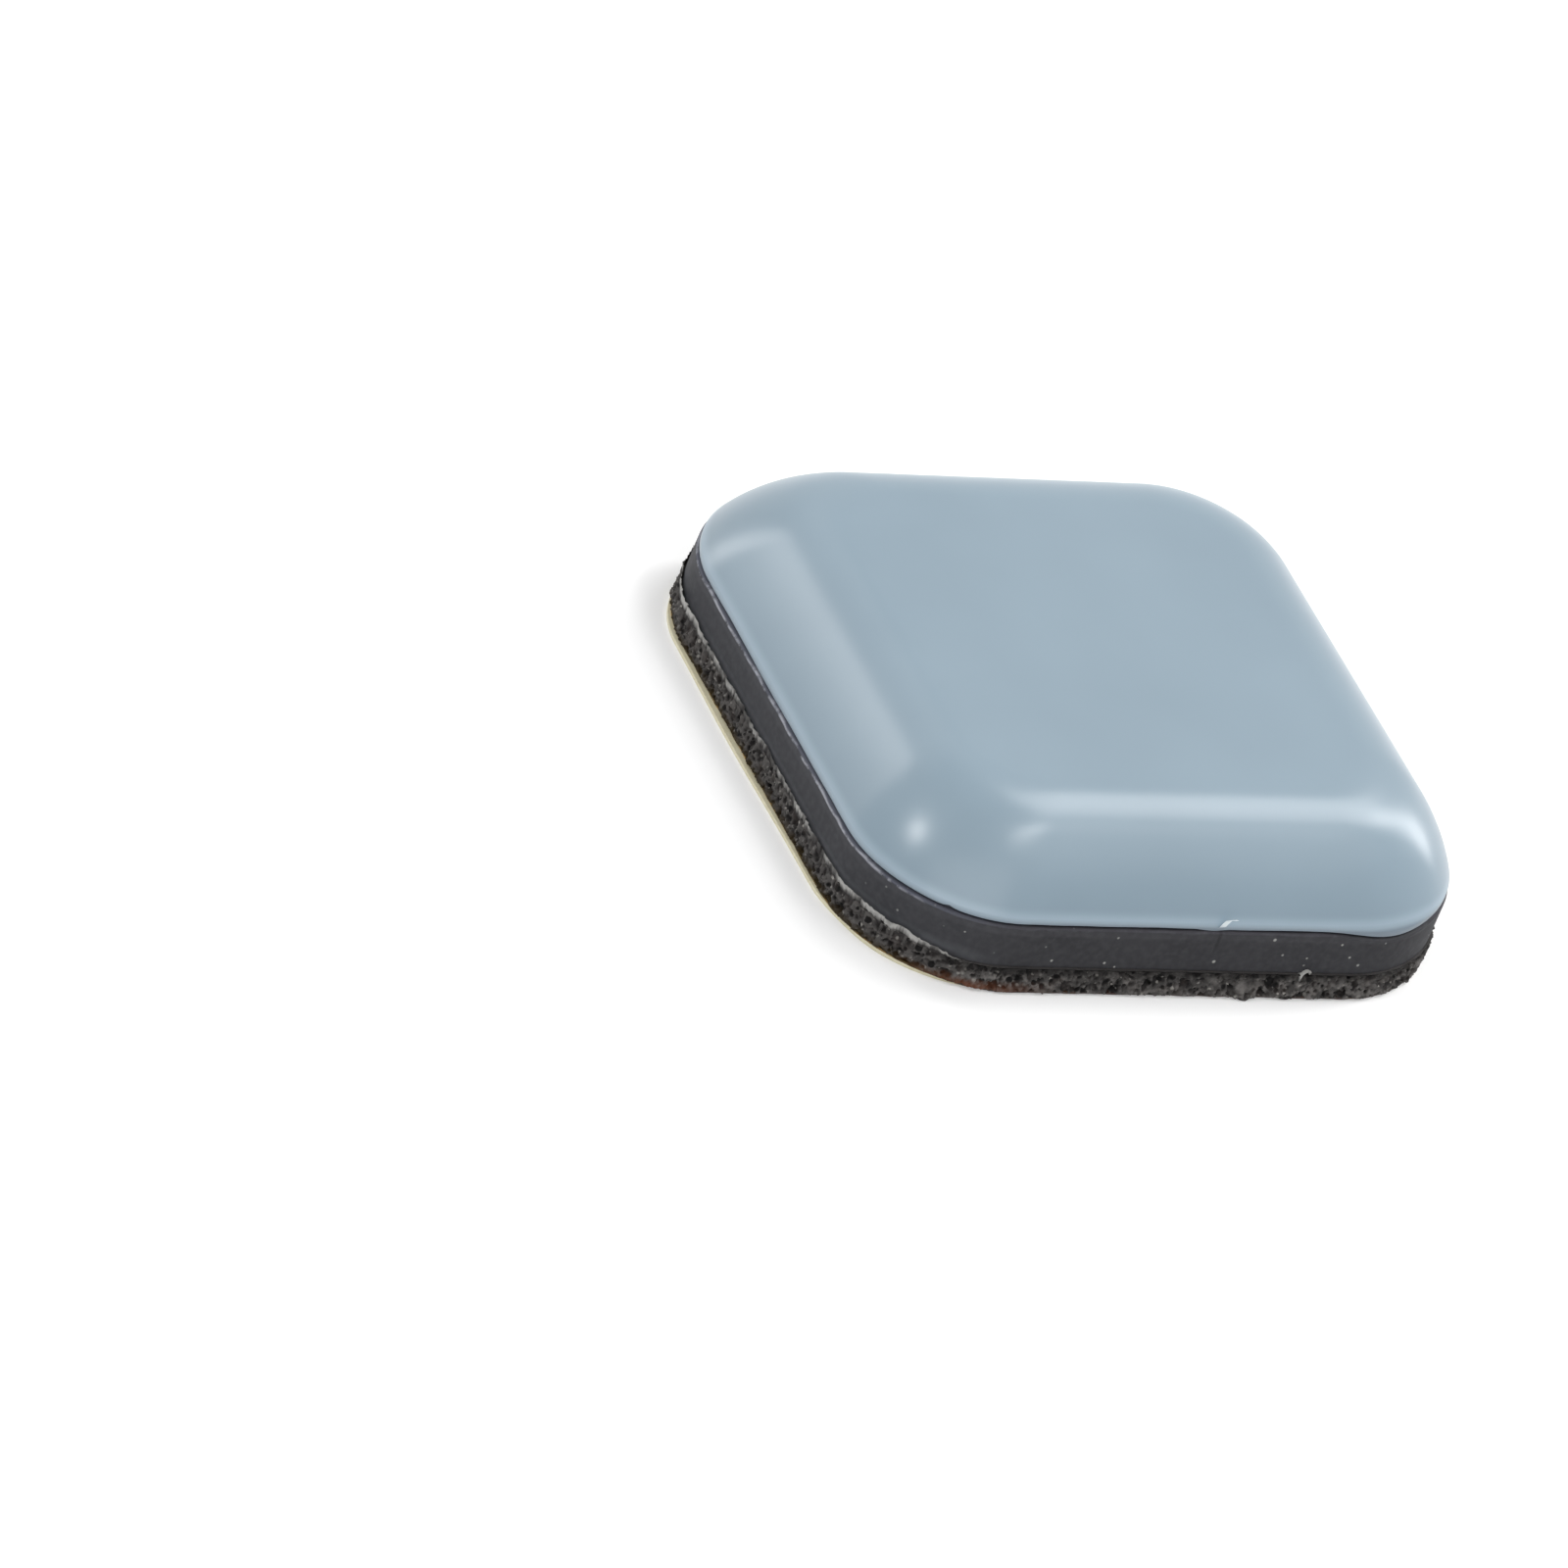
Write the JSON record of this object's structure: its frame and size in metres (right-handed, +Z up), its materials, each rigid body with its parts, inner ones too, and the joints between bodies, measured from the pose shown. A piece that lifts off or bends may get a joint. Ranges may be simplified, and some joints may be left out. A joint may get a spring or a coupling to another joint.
{
  "type": "furniture slider",
  "caption": "Square round-cornered self-adhesive furniture slider: a domed low-friction plastic cap on a rubber core, with a foam mounting tape and a peel-off liner.",
  "frame": {"origin": "on the underside of the release liner, below the middle of the pad", "axes": "+Z up, from the sticky side to the sliding face; +X along one side of the square; +Y along the next side"},
  "size_m": [0.0203, 0.0203, 0.0053],
  "materials": {
    "cap_plastic": "satin",
    "bond": "satin",
    "rubber": "matte",
    "adhesive": "gloss",
    "foam": "matte",
    "liner_paper": "satin"
  },
  "bodies": {
    "tape": {"foam_pad": "foam", "lower_adhesive": "adhesive"},
    "glider": {"glide_cap": "cap_plastic", "cap_bond_film": "bond", "rubber_core": "rubber", "upper_adhesive": "adhesive"},
    "liner": {"release_liner": "liner_paper"}
  },
  "joints": [
    {"name": "cushion_squeeze", "type": "slide", "parent": "tape", "child": "glider", "axis": [0, 0, -1], "range_m": [0, 0.0002], "stiffness_N_per_m": 160000, "deforming": ["foam_pad"]},
    {"name": "liner_release", "type": "slide", "parent": "tape", "child": "liner", "axis": [-1, 0, 0], "range_m": [0, 0.022]}
  ]
}
